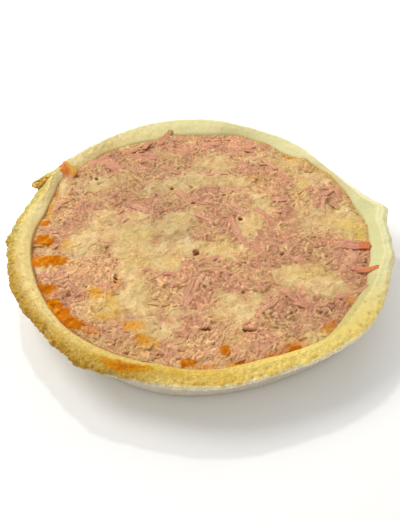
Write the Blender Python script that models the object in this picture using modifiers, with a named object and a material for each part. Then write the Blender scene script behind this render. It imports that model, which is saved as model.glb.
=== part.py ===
"""Quiche: a shortcrust pastry case filled with baked custard, ham strips and melted cheese.

The case is a turned shape whose rim then swells, thins and crumbles with the direction round it.
The filling is a lumpy slab cut to the hollow of the case, with the ham strips fused to its top.
Directions round the case are in degrees: 0 along +X, 90 along +Y, -90 towards the viewer.
"""

import math
import random

import bmesh
import bpy
from mathutils import Vector, noise

MM = 0.001

# Pastry case.
SEGMENTS = 160
BASE_RADIUS = 110.5 * MM
BRIM_RADIUS = 112.5 * MM
LIP_RADIUS = 127.5 * MM
SHOULDER_WIDTH = 7.0 * MM
OVERHANG = 6.0 * MM
FLOOR_THICKNESS = 6.0 * MM
FLOOR_RADIUS = 103.5 * MM
BRIM_HEIGHT = 29.0 * MM
RIDGE_HEIGHT = 34.5 * MM
LIP_HEIGHT = 31.5 * MM
LIP_THICKNESS = 5.0 * MM

# Swells: direction in degrees, half width in degrees, amount in millimetres.
BASE_SWELLS = ((-33, 20, 6.5),)
BRIM_SWELLS = (
    (-137, 13, 2.0),
    (-104, 7, -1.5),
    (-72, 9, -2.0),
    (-49, 9, 3.5),
    (-22, 4, 2.0),
    (17, 5, -1.5),
    (55, 8, -4.5),
    (77, 6, 3.0),
    (107, 5, -2.0),
    (128, 6, 2.0),
    (149, 5, 3.0),
    (167, 8, -3.0),
)
LIP_SWELLS = (
    (-157, 22, 2.5),
    (-122, 11, 4.8),
    (-92, 14, 1.5),
    (-70, 8, -1.5),
    (-38, 15, 4.5),
    (-9, 3, 1.5),
    (12, 4, 6.5),
    (36, 20, -12.0),
    (67, 17, -6.0),
    (132, 20, -3.7),
    (164, 10, -3.5),
)
SHOULDER_SWELLS = (
    (-95, 35, 2.0),
    (-35, 14, 5.0),
    (10, 8, 2.5),
    (50, 40, -5.0),
    (120, 35, -4.0),
    (158, 6, 3.5),
)
OVERHANG_SWELLS = ((50, 40, -4.5), (120, 35, -3.5))
RIDGE_HEIGHT_SWELLS = ((-90, 40, -1.5), (34, 14, -1.6), (152, 4, 1.5))
LIP_HEIGHT_SWELLS = ((-90, 40, -0.5), (10, 8, 1.0), (34, 14, -1.5), (152, 4, 1.5))

# Crumbling edge: teeth where flakes broke off, and a fine seeded roughness.
TEETH = (-178, -158, -149, -134, -124, 152)
TOOTH_WIDTH = 3.0
TOOTH_DEPTH = 1.6
CRUMB_SIZE = 5.0 * MM
CRUMB_DEPTH = 0.55 * MM
CRUMBLY_SIDE = (-150, 60, 0.7)

# Filling.
GAP = 0.35 * MM
DOME = 1.4 * MM
LUMP_SIZE = 17.0 * MM
LUMP_HEIGHT = 1.0 * MM
CURD_SIZE = 8.0 * MM
CURD_HEIGHT = 0.5 * MM
SLAB_HALF_WIDTH = 125.0 * MM
SLAB_CELLS = 31
CAVITY_TOP = 45.0 * MM

# Ham strips.
STRIP_SEED = 7
STRIP_COUNT = 98
STRIP_TRIES = 4000
STRIP_SPACING = 11.0 * MM
STRIP_WIDTH = 4.0 * MM
STRIP_THICKNESS = 2.8 * MM
STRIP_PROUD = 1.3 * MM
STRIP_LENGTHS = (12.0 * MM, 30.0 * MM)
STRIP_BEND = 50.0
STRIP_CUTS = 2
BRIM_CLEARANCE = 2.5 * MM

# Strips that stand out: x and y of the middle in millimetres, heading, length in millimetres, bend.
PLAIN_STRIPS = (
    (25, 4, -69, 36, 12),
    (46, 16, -71, 34, -55),
    (27, 95, -14, 25, 5),
    (31, 102, -11, 26, -8),
    (95, 44, -80, 15, 20),
    (84, 36, -92, 22, -25),
    (92, -9, 2, 23, 8),
    (93, -29, 6, 22, -10),
    (-44, 31, -39, 20, 15),
    (-13, 43, -46, 20, 0),
    (-29, -32, -16, 24, 30),
    (42, -64, 48, 22, 10),
    (56, -53, -44, 18, 0),
    (88, -54, 19, 25, 12),
    (-92, 58, -72, 21, 0),
)

PASTRY_COLOUR = (0.72, 0.52, 0.20, 1.0)
FILLING_COLOUR = (0.62, 0.35, 0.20, 1.0)


def swell(azimuth, places):
    """Sum of the soft swells at a direction, in metres."""
    total = 0.0
    for centre, half_width, amount in places:
        away = (azimuth - centre + 180.0) % 360.0 - 180.0
        total += amount * math.exp(-((away / half_width) ** 2))
    return total * MM


def crumble(azimuth, height):
    """How far the broken edge of the pastry stands in or out, in metres."""
    turn = math.radians(azimuth)
    place = Vector((LIP_RADIUS * math.cos(turn), LIP_RADIUS * math.sin(turn), height))
    side, spread, extra = CRUMBLY_SIDE
    away = (azimuth - side + 180.0) % 360.0 - 180.0
    strength = 0.5 + extra * math.exp(-((away / spread) ** 2))
    return CRUMB_DEPTH * strength * 2.0 * noise.noise(place / CRUMB_SIZE)


def teeth(azimuth):
    """Teeth along the left side of the lip, in metres."""
    return swell(azimuth, [(place, TOOTH_WIDTH, TOOTH_DEPTH) for place in TEETH])


def inner_rows(azimuth):
    """Inside of the case from the floor's corner up to the ridge, as radius and height."""
    lip = LIP_RADIUS + swell(azimuth, LIP_SWELLS)
    brim = BRIM_RADIUS + swell(azimuth, BRIM_SWELLS)
    ridge = lip - SHOULDER_WIDTH - swell(azimuth, SHOULDER_SWELLS)
    ridge = max(ridge + crumble(azimuth, RIDGE_HEIGHT), brim + 1.5 * MM)
    ridge_height = RIDGE_HEIGHT + swell(azimuth, RIDGE_HEIGHT_SWELLS)
    ridge_height += crumble(azimuth, 0.0)
    return [
        (FLOOR_RADIUS, FLOOR_THICKNESS),
        (FLOOR_RADIUS + 2.0 * MM, FLOOR_THICKNESS + 3.0 * MM),
        (brim, BRIM_HEIGHT),
        (0.45 * brim + 0.55 * ridge, 0.35 * BRIM_HEIGHT + 0.65 * ridge_height),
        (ridge, ridge_height),
    ]


def case_rows(azimuth):
    """Whole section of the case, from its floor over the rim to its underside."""
    lip = LIP_RADIUS + swell(azimuth, LIP_SWELLS) + teeth(azimuth)
    lip += crumble(azimuth, LIP_HEIGHT)
    lip_height = LIP_HEIGHT + swell(azimuth, LIP_HEIGHT_SWELLS)
    lip_height += crumble(azimuth, 2.0 * LIP_HEIGHT)
    inside = inner_rows(azimuth)
    ridge, ridge_height = inside[-1]
    base = BASE_RADIUS + swell(azimuth, BASE_SWELLS)
    overhang = OVERHANG + swell(azimuth, OVERHANG_SWELLS)
    neck = max(lip - overhang, base + 2.0 * MM)
    wall_height = lip_height - LIP_THICKNESS
    return [
        (0.0, FLOOR_THICKNESS),
        *inside,
        (0.4 * ridge + 0.6 * lip, 0.55 * ridge_height + 0.45 * lip_height + 0.6 * MM),
        (lip, lip_height),
        (lip - 1.2 * MM, lip_height - 0.7 * LIP_THICKNESS),
        (neck, wall_height - 1.5 * MM),
        (0.5 * base + 0.5 * neck - 1.0 * MM, 0.5 * wall_height),
        (base, 2.5 * MM),
        (base - 2.5 * MM, 0.0),
        (0.0, 0.0),
    ]


def cavity_rows(azimuth):
    """Section of the hollow that the filling fits, kept clear of the case."""
    inside = [(radius - GAP, height + GAP) for radius, height in inner_rows(azimuth)]
    brink = inside[-1][0]
    return [(0.0, CAVITY_TOP), (brink, CAVITY_TOP), *reversed(inside), (0.0, inside[0][1])]


def surface(x, y):
    """Height of the custard's top at a place."""
    brim = BRIM_RADIUS
    crown = DOME * max(0.0, 1.0 - (x * x + y * y) / (brim * brim))
    lumps = LUMP_HEIGHT * noise.noise(Vector((x, y, 0.0)) / LUMP_SIZE)
    curds = CURD_HEIGHT * noise.noise(Vector((x, y, LUMP_SIZE)) / CURD_SIZE)
    return BRIM_HEIGHT + crown + 2.0 * lumps + 2.0 * curds


def clear_scene():
    """Start from an empty scene."""
    for thing in list(bpy.data.objects):
        bpy.data.objects.remove(thing, do_unlink=True)


def collection(name):
    """New collection in the scene."""
    made = bpy.data.collections.new(name)
    bpy.context.scene.collection.children.link(made)
    return made


def add_object(name, mesh, group):
    """New object in a collection."""
    thing = bpy.data.objects.new(name, mesh)
    group.objects.link(thing)
    return thing


def apply_modifiers(thing):
    """Keep the mesh as its modifiers leave it."""
    depsgraph = bpy.context.evaluated_depsgraph_get()
    finished = bpy.data.meshes.new_from_object(thing.evaluated_get(depsgraph))
    thing.modifiers.clear()
    thing.data = finished


def turned(name, rows, group):
    """Solid turned from the section at direction 0, then reshaped all round by its rows."""
    profile = rows(0.0)
    shape = bmesh.new()
    corners = [shape.verts.new((radius, 0.0, height)) for radius, height in profile]
    for upper, lower in zip(corners, corners[1:]):
        shape.edges.new((upper, lower))
    mesh = bpy.data.meshes.new(name)
    shape.to_mesh(mesh)
    shape.free()
    thing = add_object(name, mesh, group)
    screw = thing.modifiers.new("turn", "SCREW")
    screw.axis = "Z"
    screw.angle = math.tau
    screw.steps = SEGMENTS
    screw.render_steps = SEGMENTS
    screw.use_merge_vertices = True
    screw.merge_threshold = 0.00001
    apply_modifiers(thing)
    reshape(thing, profile, rows)
    return thing


def reshape(thing, profile, rows):
    """Move each corner of a turned solid to the section that its own direction has."""
    for corner in thing.data.vertices:
        radius = math.hypot(corner.co.x, corner.co.y)
        height = corner.co.z
        row = min(
            range(len(profile)),
            key=lambda i: math.hypot(profile[i][0] - radius, profile[i][1] - height),
        )
        turn = math.atan2(corner.co.y, corner.co.x)
        new_radius, new_height = rows(math.degrees(turn))[row]
        corner.co = (new_radius * math.cos(turn), new_radius * math.sin(turn), new_height)
    triangulate(thing)


def triangulate(thing):
    """Split the faces, which reshaping has left slightly twisted, into flat triangles."""
    shape = bmesh.new()
    shape.from_mesh(thing.data)
    bmesh.ops.triangulate(shape, faces=shape.faces[:], quad_method="SHORT_EDGE")
    shape.to_mesh(thing.data)
    shape.free()


def boolean(thing, operation, cutter=None, group=None):
    """Cut or join a solid with one object or with a whole collection, and drop those."""
    step = thing.modifiers.new(operation.lower(), "BOOLEAN")
    step.operation = operation
    step.solver = "EXACT"
    if cutter:
        step.object = cutter
        apply_modifiers(thing)
        bpy.data.objects.remove(cutter, do_unlink=True)
    else:
        step.operand_type = "COLLECTION"
        step.collection = group
        apply_modifiers(thing)
        for piece in list(group.objects):
            bpy.data.objects.remove(piece, do_unlink=True)


def keep_outer_shell(thing):
    """Leave only the largest closed shell, so no sealed hollow or loose scrap stays."""
    shape = bmesh.new()
    shape.from_mesh(thing.data)
    left = set(shape.faces)
    shells = []
    while left:
        edge_of_search = [left.pop()]
        shell = list(edge_of_search)
        while edge_of_search:
            for edge in edge_of_search.pop().edges:
                for face in edge.link_faces:
                    if face in left:
                        left.remove(face)
                        shell.append(face)
                        edge_of_search.append(face)
        shells.append(shell)
    largest = max(shells, key=len)
    scrap = [face for shell in shells if shell is not largest for face in shell]
    bmesh.ops.delete(shape, geom=scrap, context="FACES")
    shape.to_mesh(thing.data)
    shape.free()


def shade(thing, angle):
    """Shade round stretches smooth and keep sharp corners."""
    thing.data.shade_smooth()
    thing.data.set_sharp_from_angle(angle=math.radians(angle))


def material(name, colour, roughness):
    """Plain finish of one sub-part."""
    finish = bpy.data.materials.new(name)
    finish.use_nodes = True
    shader = finish.node_tree.nodes["Principled BSDF"]
    shader.inputs["Base Color"].default_value = colour
    shader.inputs["Roughness"].default_value = roughness
    shader.inputs["Metallic"].default_value = 0.0
    return finish


def pastry_case(group):
    """Baked shortcrust case with its flared, crumbling rim."""
    case = turned("crust", case_rows, group)
    case.data.materials.append(material("baked_pastry", PASTRY_COLOUR, 0.8))
    shade(case, 50.0)


def lumpy_slab(group):
    """Block of filling, larger than the case's hollow, whose top is the lumpy surface."""
    shape = bmesh.new()
    bmesh.ops.create_grid(
        shape, x_segments=SLAB_CELLS, y_segments=SLAB_CELLS, size=SLAB_HALF_WIDTH
    )
    for corner in shape.verts:
        corner.co.z = surface(corner.co.x, corner.co.y)
    grown = bmesh.ops.extrude_face_region(shape, geom=shape.faces[:])
    for piece in grown["geom"]:
        if isinstance(piece, bmesh.types.BMVert):
            piece.co.z = -FLOOR_THICKNESS
    bmesh.ops.recalc_face_normals(shape, faces=shape.faces[:])
    mesh = bpy.data.meshes.new("filling")
    shape.to_mesh(mesh)
    shape.free()
    slab = add_object("filling", mesh, group)
    triangulate(slab)
    return slab


def strip_line(x, y, heading, length, bend, along):
    """Place and direction on a strip's middle line, from -0.5 at one end to 0.5 at the other."""
    turn = math.radians(heading + bend * along)
    half_turn = math.radians(heading + bend * along * 0.5)
    reach = length * along
    return x + reach * math.cos(half_turn), y + reach * math.sin(half_turn), turn


def within_brim(x, y, clearance):
    """True where a place on the filling stays that far inside the case's brim."""
    azimuth = math.degrees(math.atan2(y, x))
    brim = BRIM_RADIUS + swell(azimuth, BRIM_SWELLS)
    return math.hypot(x, y) < brim - clearance


def ham_strip(number, place, group):
    """One strip of ham, a bent bar half sunk in the custard, with ends that dip into it."""
    x, y, heading, length, bend = place
    shape = bmesh.new()
    bmesh.ops.create_cube(shape, size=1.0)
    long_edges = [
        edge for edge in shape.edges if abs(edge.verts[0].co.x - edge.verts[1].co.x) > 0.5
    ]
    bmesh.ops.subdivide_edges(shape, edges=long_edges, cuts=STRIP_CUTS, use_grid_fill=True)
    for corner in shape.verts:
        along = corner.co.x
        across = corner.co.y * STRIP_WIDTH
        px, py, turn = strip_line(x, y, heading, length, bend, along)
        px -= across * math.sin(turn)
        py += across * math.cos(turn)
        proud = STRIP_PROUD if abs(along) < 0.45 else 0.45 * STRIP_PROUD
        drop = 0.0 if corner.co.z > 0.0 else STRIP_THICKNESS
        corner.co = (px, py, surface(px, py) + proud - drop)
    mesh = bpy.data.meshes.new(f"strip_{number}")
    shape.to_mesh(mesh)
    shape.free()
    return add_object(f"strip_{number}", mesh, group)


def strip_places():
    """The strips that stand out, then others spread evenly by a seeded draw."""
    draw = random.Random(STRIP_SEED)
    places = [
        (x * MM, y * MM, heading, length * MM, bend)
        for x, y, heading, length, bend in PLAIN_STRIPS
    ]
    for _ in range(STRIP_TRIES):
        if len(places) >= STRIP_COUNT:
            break
        x = draw.uniform(-BRIM_RADIUS, BRIM_RADIUS)
        y = draw.uniform(-BRIM_RADIUS, BRIM_RADIUS)
        heading = draw.uniform(0.0, 180.0)
        length = draw.uniform(*STRIP_LENGTHS)
        bend = draw.uniform(-STRIP_BEND, STRIP_BEND)
        ends = [strip_line(x, y, heading, length, bend, along) for along in (-0.5, 0.5)]
        if not all(within_brim(ex, ey, BRIM_CLEARANCE) for ex, ey, _ in ends):
            continue
        if min(math.hypot(x - place[0], y - place[1]) for place in places) < STRIP_SPACING:
            continue
        places.append((x, y, heading, length, bend))
    return places


def filling(group, cutters):
    """Custard and ham strips joined in one body, then cut to the hollow of the case."""
    custard = lumpy_slab(group)
    for number, place in enumerate(strip_places()):
        ham_strip(number, place, cutters)
    boolean(custard, "UNION", group=cutters)
    boolean(custard, "INTERSECT", cutter=turned("hollow", cavity_rows, cutters))
    keep_outer_shell(custard)
    custard.data.materials.clear()
    custard.data.materials.append(material("custard_and_ham", FILLING_COLOUR, 0.5))
    shade(custard, 35.0)


clear_scene()
quiche = collection("quiche")
cutting = collection("cutters")
pastry_case(quiche)
filling(quiche, cutting)
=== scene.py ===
import math

import bpy
import numpy as np
from mathutils import Euler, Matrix, Vector, kdtree, noise


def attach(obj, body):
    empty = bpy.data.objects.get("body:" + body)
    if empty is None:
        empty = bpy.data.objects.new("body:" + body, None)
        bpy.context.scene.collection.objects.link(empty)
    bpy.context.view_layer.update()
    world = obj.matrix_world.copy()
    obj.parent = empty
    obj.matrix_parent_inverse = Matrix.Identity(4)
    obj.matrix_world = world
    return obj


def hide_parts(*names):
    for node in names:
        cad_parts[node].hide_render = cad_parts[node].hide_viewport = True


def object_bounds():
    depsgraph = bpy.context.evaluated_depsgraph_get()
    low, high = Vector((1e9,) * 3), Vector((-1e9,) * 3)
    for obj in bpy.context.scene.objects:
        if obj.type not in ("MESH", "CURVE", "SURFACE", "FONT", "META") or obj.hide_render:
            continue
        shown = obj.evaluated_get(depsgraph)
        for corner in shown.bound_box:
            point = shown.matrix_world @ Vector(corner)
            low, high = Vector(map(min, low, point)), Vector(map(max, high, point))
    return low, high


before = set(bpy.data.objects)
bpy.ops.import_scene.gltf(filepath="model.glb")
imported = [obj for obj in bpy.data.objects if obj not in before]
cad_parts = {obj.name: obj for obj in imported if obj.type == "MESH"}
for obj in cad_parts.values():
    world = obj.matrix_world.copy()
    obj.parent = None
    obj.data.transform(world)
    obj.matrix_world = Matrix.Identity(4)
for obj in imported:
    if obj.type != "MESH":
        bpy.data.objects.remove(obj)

cad_low, cad_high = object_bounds()
MM = 0.001

# The viewpoint: somebody standing at the table, looking down on the whole quiche at about 44 degrees.
# At the height of the filling one pixel of the 400 x 520 picture covers 0.67 mm.
bpy.ops.object.select_all(action="DESELECT")
PICTURE_WIDE, PICTURE_TALL = 400, 520
VIEW_ELEVATION = math.radians(43.6)
VIEW_DISTANCE = 0.70
PIXEL_SIZE = 0.67 * MM
AIM_HEIGHT = 30.0 * MM
AIM_PIXEL = (200.9, 237.5)
SENSOR_WIDTH = 36.0
focal_pixels = VIEW_DISTANCE / PIXEL_SIZE
back = Vector((0.0, -math.cos(VIEW_ELEVATION), math.sin(VIEW_ELEVATION)))
camera_data = bpy.data.cameras.new("viewpoint")
camera_data.sensor_width = SENSOR_WIDTH
camera_data.lens = SENSOR_WIDTH * focal_pixels / PICTURE_TALL
camera = bpy.data.objects.new("viewpoint", camera_data)
bpy.context.scene.collection.objects.link(camera)
camera.location = Vector((0.0, 0.0, AIM_HEIGHT)) + back * VIEW_DISTANCE
tip = math.atan((AIM_PIXEL[1] - PICTURE_TALL / 2) / focal_pixels)
swing = math.atan((AIM_PIXEL[0] - PICTURE_WIDE / 2) / focal_pixels)
camera.rotation_mode = "QUATERNION"
camera.rotation_quaternion = (
    (-back).to_track_quat("-Z", "Y") @ Euler((tip, swing, 0.0)).to_quaternion()
)
bpy.context.scene.camera = camera

# The stage: a plain pale tabletop under even daylight. A broad soft lamp high on the left lights the
# right-hand inside of the rim and leaves the near side of the case in shade. One at the back and a
# small bulb near it give the moist filling its highlights. A lamp is a place, size, power and colour.
FLOOR_SIZE = 8.0
DAYLIGHT = 0.62
DAYLIGHT_COLOUR = (1.0, 0.99, 0.97, 1.0)
TABLETOP_WHITE = (0.95, 0.95, 0.95, 1.0)
TABLETOP_ROUGHNESS = 0.9
LAMPS = {
    "window_left": ((-0.75, 0.30, 0.95), 0.70, 7.2, (1.0, 0.985, 0.96)),
    "window_back": ((0.35, 1.05, 0.85), 0.80, 2.8, (0.97, 0.98, 1.0)),
    "bulb_back": ((-0.35, 0.75, 1.00), 0.08, 3.6, (1.0, 0.98, 0.95)),
}
bpy.context.scene.view_settings.view_transform = "Standard"
bpy.context.scene.view_settings.look = "None"
world = bpy.data.worlds.new("daylight")
world.use_nodes = True
world.node_tree.nodes["Background"].inputs["Color"].default_value = DAYLIGHT_COLOUR
world.node_tree.nodes["Background"].inputs["Strength"].default_value = DAYLIGHT
bpy.context.scene.world = world
for lamp_name, (place, size, power, tone) in LAMPS.items():
    lamp_data = bpy.data.lights.new(lamp_name, "AREA")
    lamp_data.shape = "DISK"
    lamp_data.size = size
    lamp_data.energy = power
    lamp_data.color = tone
    lamp = bpy.data.objects.new(lamp_name, lamp_data)
    bpy.context.scene.collection.objects.link(lamp)
    lamp.location = place
    lamp.rotation_mode = "QUATERNION"
    lamp.rotation_quaternion = (-Vector(place)).to_track_quat("-Z", "Y")
bpy.ops.mesh.primitive_plane_add(size=FLOOR_SIZE, location=(0.0, 0.0, 0.0))
tabletop = bpy.context.object
tabletop.name = "tabletop"
tabletop_finish = bpy.data.materials.new("tabletop_white")
tabletop_finish.use_nodes = True
tabletop_shader = tabletop_finish.node_tree.nodes["Principled BSDF"]
tabletop_shader.inputs["Base Color"].default_value = TABLETOP_WHITE
tabletop_shader.inputs["Roughness"].default_value = TABLETOP_ROUGHNESS
tabletop.data.materials.append(tabletop_finish)

# The pastry case: shortcrust pressed into a tin by hand and turned out. Its rim flares and droops,
# its broken edge crumbles, and it baked golden at the front and left but stayed pale at the back
# and right. The side is floury where it lay against the tin.
SEGMENTS = 1080
BASE_RADIUS = 110.5
BRIM_RADIUS = 112.5
LIP_RADIUS = 127.5
SHOULDER_WIDTH = 7.0
OVERHANG = 6.0
FLOOR_THICKNESS = 6.0
FLOOR_RADIUS = 103.5
BRIM_HEIGHT = 29.0
RIDGE_HEIGHT = 34.5
LIP_HEIGHT = 31.5
LIP_THICKNESS = 5.0
# Swells by direction: middle and half width in degrees, and how far it swells in millimetres.
BASE_SWELLS = ((-33, 20, 6.5), (-104, 16, 2.2))
BRIM_SWELLS = (
    (-137, 13, 2.0), (-104, 7, -1.5), (-72, 9, -2.0), (-49, 9, 3.5), (-22, 4, 2.0), (17, 5, -1.5),
    (55, 8, -4.5), (77, 6, 3.0), (107, 5, -2.0), (128, 6, 2.0), (149, 5, 3.0), (167, 8, -3.0),
)
LIP_SWELLS = (
    (-157, 22, 2.5), (-122, 11, 4.8), (-92, 14, 1.5), (-70, 8, -1.5), (-38, 15, 4.5), (-9, 3, 1.5),
    (12, 4, 6.5), (36, 20, -12.0), (67, 17, -6.0), (132, 20, -3.7), (164, 10, -3.5),
)
SHOULDER_SWELLS = (
    (-95, 35, 2.0), (-35, 14, 5.0), (10, 8, 2.5), (50, 40, -5.0), (120, 35, -4.0), (158, 6, 3.5),
)
OVERHANG_SWELLS = ((50, 40, -4.5), (120, 35, -3.5))
RIDGE_HEIGHT_SWELLS = ((-90, 40, -1.5), (34, 14, -1.6), (152, 4, 1.5))
LIP_HEIGHT_SWELLS = ((-90, 40, -0.5), (10, 8, 1.0), (34, 14, -1.5), (152, 4, 1.5))
# Directions of the teeth that stick out of the broken lip, and of the notches in it.
TEETH = (-178, -158, -149, -134, -124, 152)
TOOTH_WIDTH = 2.2
TOOTH_DEPTH = 1.6
NOTCHES = (-171, -159, -152.5, -144, -133, -123.5, -115.5, 168, 158)
NOTCH_LENGTH = 3.5
NOTCH_DEPTH = 0.9
# Small pits that the baking left: direction, place on the section and radius. A degree of the rim is
# about 2 mm long, and a step of the section about 3 mm.
PLAIN_PITS = (
    (-43.5, 5.7, 1.0), (-39.5, 6.2, 1.2), (-34.5, 6.0, 1.0), (-48.0, 6.6, 0.8), (-121.0, 6.0, 0.9),
)
PIT_SEED = 11
PIT_COUNT = 110
PIT_DEPTH = 0.75
DEGREE_LONG = 2.0
STEP_LONG = 3.0
# Places on the section are counted by its corners: 3 is the brim of the filling, 5 the ridge, 7 the
# lip, 9 the neck under it, 11 the foot of the wall, and 12 to 13 the underside. So many rows of the
# mesh lie between one corner and the next.
STEPS_BETWEEN_ROWS = (3, 1, 6, 7, 7, 8, 7, 6, 6, 13, 11, 5, 6)
SECTION_SOFTENING = 2
UNDERSIDE_STEP = 12.0
WELD = 0.02 * MM
# Stretches of the rim that differ in relief, in baking, or in painted light and shade: middle and
# half width, in degrees.
PALE_BACK = (52.0, 78.0)
CRUMBLY_LEFT = (-148.0, 52.0)
SHARP_RIDGE = (5.0, 32.0)
PALE_INSIDE = (-8.0, 42.0)
LEMON_FRONT = (-40.0, 32.0)
FLOURY_INSIDE = (-160.0, 38.0)
BACK_LEFT = (152.0, 26.0)
OLIVE_LEFT = (168.0, 22.0)
RIGHT_SIDE = (8.0, 34.0)
FLOURY_FRONT = (-72.0, 48.0)
SCORCH = (-111.5, 6.2)
TEAR = (143.0, 3.2)
TOASTED_SHADED_BRIM = (-172.0, 44.0)
SMOOTH_LEFT = (170.0, 30.0)
SMOOTH_RIGHT = (-22.0, 34.0)
PLAIN_FRONT = (-30.0, 26.0)
EVEN_RIGHT = (40.0, 75.0)
# Oily stains inside the back of the rim: middle, half width and strength.
BACK_STAINS = ((62.0, 7.0, 0.3), (106.0, 6.0, 0.5))
PALE_DOUGH = (222, 216, 162)
GOLDEN_CRUST = (214, 180, 86)
LEMON_CRUST = (232, 211, 124)
INNER_FLOUR = (222, 196, 128)
BACK_FLOUR = (222, 206, 146)
SHADED_GREENISH_DOUGH = (204, 202, 148)
LIT_PALE_LIP = (234, 230, 180)
LIP_EDGE_HIGHLIGHT = (240, 226, 168)
ROUGH_EDGE = (190, 148, 58)
FLOURY_SIDE = (220, 210, 188)
TOASTED_CRUST = (204, 158, 60)
BROWNED_CRUST = (204, 134, 0)
SCORCHED_CRUST = (160, 84, 0)
OLIVE_SCORCH_AND_PIT_SHADE = (164, 124, 20)
SHADED_OLIVE_LIP = (190, 180, 108)
BRIM_TOAST_AND_SHADE = (140, 86, 14)
TEAR_STAIN = (224, 172, 60)
OILY_STAIN = (214, 150, 62)
# Stretches of the rim that baked unlike the rest; others are painted light on slopes and corners
# turned from the lamps, and painted shade on the front-right inside: middle direction, half width in
# degrees, first and last step of the section, and the gain of red, green and blue as seen on a screen.
RIM_BAKE_AND_LIGHT_TONES = (
    (-140, 40, 4.8, 9.0, (0.90, 0.87, 0.84)), (-165, 35, 3.0, 5.2, (1.05, 1.07, 1.10)),
    (-110, 18, 4.2, 5.5, (0.95, 0.93, 0.80)), (-60, 40, 5.9, 7.8, (1.08, 1.08, 1.08)),
    (-35, 18, 2.8, 4.7, (0.88, 0.88, 0.84)), (35, 15, 3.0, 5.3, (1.08, 1.08, 1.14)),
    (140, 30, 3.0, 5.2, (1.06, 1.06, 1.10)), (130, 25, 4.8, 7.5, (0.96, 0.98, 1.06)),
)


def linear(colour):
    """A colour read as 0 to 255 on a screen, as the light it stands for."""
    part = np.asarray(colour, float) / 255.0
    return np.where(part <= 0.04045, part / 12.92, ((part + 0.055) / 1.055) ** 2.4)


def away(azimuth, centre):
    """Signed difference between directions, in degrees."""
    return (azimuth - centre + 180.0) % 360.0 - 180.0


def stretch(azimuth, centre, half_width, steepness=4):
    """1 along a stretch of directions, falling softly to 0 past both ends."""
    return np.exp(-((away(azimuth, centre) / half_width) ** steepness))


def swell(azimuth, places):
    """Sum of the soft swells at each direction, each of its own amount."""
    return sum(amount * stretch(azimuth, centre, half_width, 2) for centre, half_width, amount in places)


def band(value, middle, half_width):
    """1 at the middle value, falling softly to 0 on both sides."""
    return np.exp(-(((value - middle) / half_width) ** 2))


def smooth(low, high, value):
    """Soft step from 0 at low to 1 at high."""
    t = np.clip((value - low) / (high - low), 0.0, 1.0)
    return t * t * (3.0 - 2.0 * t)


def soften(values):
    """Even out a row of values in place, but for its two ends."""
    values[1:-1] = 0.25 * values[:-2] + 0.5 * values[1:-1] + 0.25 * values[2:]


def speckle(points, size, seed=0.0):
    """Smooth noise of about -1 to 1, whose lumps are that many millimetres across."""
    shift = Vector((seed, 3.7 * seed, -1.9 * seed))
    return np.array([noise.noise(Vector(p) / size + shift) for p in points]) * 1.6


def plain(colour, count):
    """One colour for each of so many vertices, as linear light."""
    return np.tile(linear(colour), (count, 1))


def case_section(azimuth):
    """Corners of the case's section at each direction, as rows of radius and height."""
    lip = LIP_RADIUS + swell(azimuth, LIP_SWELLS)
    brim = BRIM_RADIUS + swell(azimuth, BRIM_SWELLS)
    ridge = np.maximum(lip - SHOULDER_WIDTH - swell(azimuth, SHOULDER_SWELLS), brim + 1.5)
    ridge_height = RIDGE_HEIGHT + swell(azimuth, RIDGE_HEIGHT_SWELLS)
    lip_height = LIP_HEIGHT + swell(azimuth, LIP_HEIGHT_SWELLS)
    lip = lip + swell(azimuth, [(tooth, TOOTH_WIDTH, TOOTH_DEPTH) for tooth in TEETH])
    base = BASE_RADIUS + swell(azimuth, BASE_SWELLS)
    neck = np.maximum(lip - OVERHANG - swell(azimuth, OVERHANG_SWELLS), base + 2.0)
    wall_height = lip_height - LIP_THICKNESS
    flat = np.ones_like(azimuth)
    radii = (
        0.0 * flat, FLOOR_RADIUS * flat, (FLOOR_RADIUS + 2.0) * flat, brim, 0.45 * brim + 0.55 * ridge,
        ridge, 0.4 * ridge + 0.6 * lip, lip, lip - 1.2, neck, 0.5 * base + 0.5 * neck - 1.0, base,
        base - 2.5, 0.0 * flat,
    )
    heights = (
        FLOOR_THICKNESS * flat, FLOOR_THICKNESS * flat, (FLOOR_THICKNESS + 3.0) * flat,
        BRIM_HEIGHT * flat, 0.35 * BRIM_HEIGHT + 0.65 * ridge_height, ridge_height,
        0.55 * ridge_height + 0.45 * lip_height + 0.6, lip_height, lip_height - 0.7 * LIP_THICKNESS,
        wall_height - 1.5, 0.5 * wall_height, 2.5 * flat, 0.0 * flat, 0.0 * flat,
    )
    return np.array(radii), np.array(heights)


section_steps = np.concatenate(
    [i + np.arange(count) / count for i, count in enumerate(STEPS_BETWEEN_ROWS)]
    + [[float(len(STEPS_BETWEEN_ROWS))]]
)
ROWS = len(section_steps) - 1
bpy.ops.object.select_all(action="DESELECT")
bpy.ops.mesh.primitive_grid_add(x_subdivisions=SEGMENTS, y_subdivisions=ROWS, size=1.0)
case = bpy.context.object
case.name = "pastry_case"
flat_grid = np.empty(len(case.data.vertices) * 3)
case.data.vertices.foreach_get("co", flat_grid)
flat_grid = flat_grid.reshape(-1, 3)
segment = np.rint((flat_grid[:, 0] + 0.5) * SEGMENTS).astype(int) % SEGMENTS
row = ROWS - np.rint((flat_grid[:, 1] + 0.5) * ROWS).astype(int)
directions = np.arange(SEGMENTS) * 360.0 / SEGMENTS - 180.0
corner_radii, corner_heights = case_section(directions)
whole = np.minimum(section_steps.astype(int), len(STEPS_BETWEEN_ROWS) - 1)
part = (section_steps - whole)[:, None]
fine_radii = corner_radii[whole] * (1.0 - part) + corner_radii[whole + 1] * part
fine_heights = corner_heights[whole] * (1.0 - part) + corner_heights[whole + 1] * part
for _ in range(SECTION_SOFTENING):
    for table in (fine_radii, fine_heights):
        soften(table)
fine_heights[section_steps >= UNDERSIDE_STEP] = 0.0
azimuth = directions[segment]
turn = np.radians(azimuth)
radius = fine_radii[row, segment]
height = fine_heights[row, segment]
step_of = section_steps[row]
case_points = np.stack([radius * np.cos(turn), radius * np.sin(turn), height], axis=1)


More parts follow.
